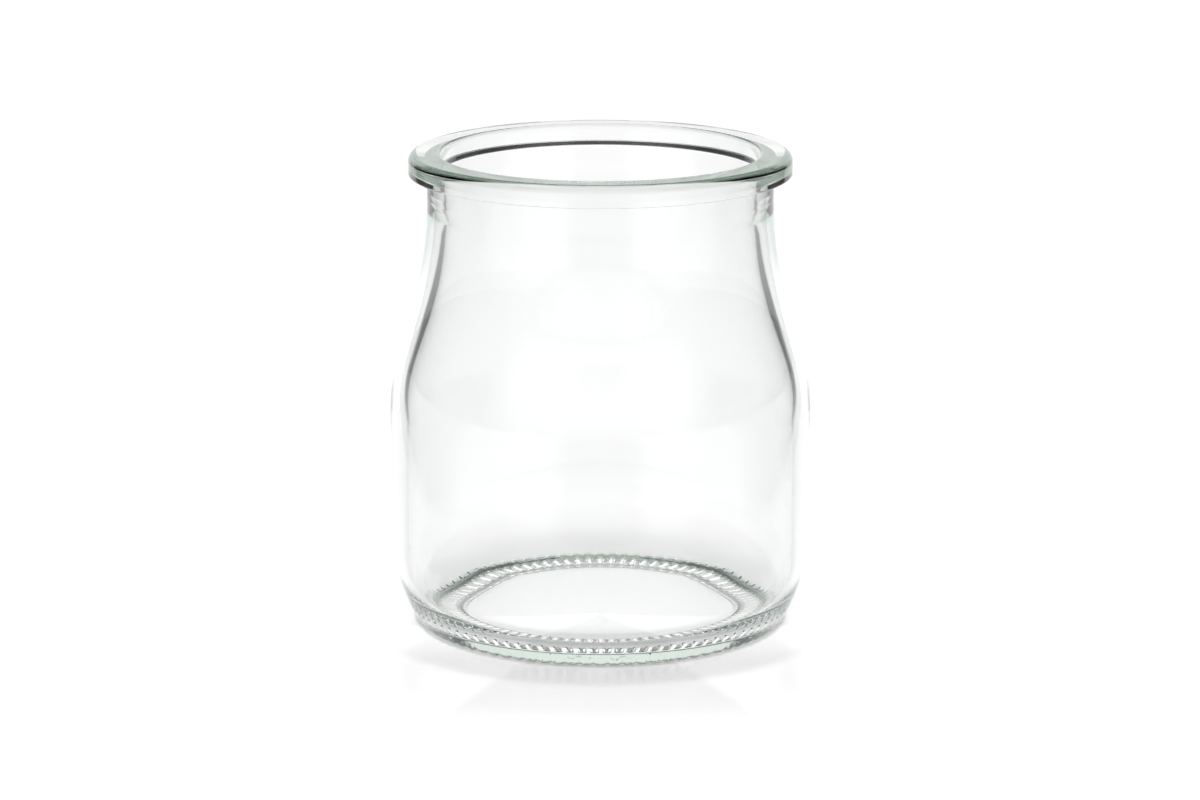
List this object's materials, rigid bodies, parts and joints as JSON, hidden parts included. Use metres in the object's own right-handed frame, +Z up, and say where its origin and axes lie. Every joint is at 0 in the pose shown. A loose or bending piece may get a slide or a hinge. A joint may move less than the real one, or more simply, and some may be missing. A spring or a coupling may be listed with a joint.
{
  "type": "yogurt pot",
  "caption": "Empty clear glass yogurt pot with a thick rounded rim, a sloping shoulder, a round body and a knurled base.",
  "frame": {"origin": "centre of the base, on the surface that the pot stands on", "axes": "+Z up along the pot's axis, out of the mouth; the pot is round, so +X and +Y are alike"},
  "size_m": [0.062, 0.062, 0.07],
  "materials": {
    "glass": "clear and glossy, with the faint green of ordinary container glass"
  },
  "bodies": {
    "root": {"glass_pot": "glass"}
  },
  "joints": []
}
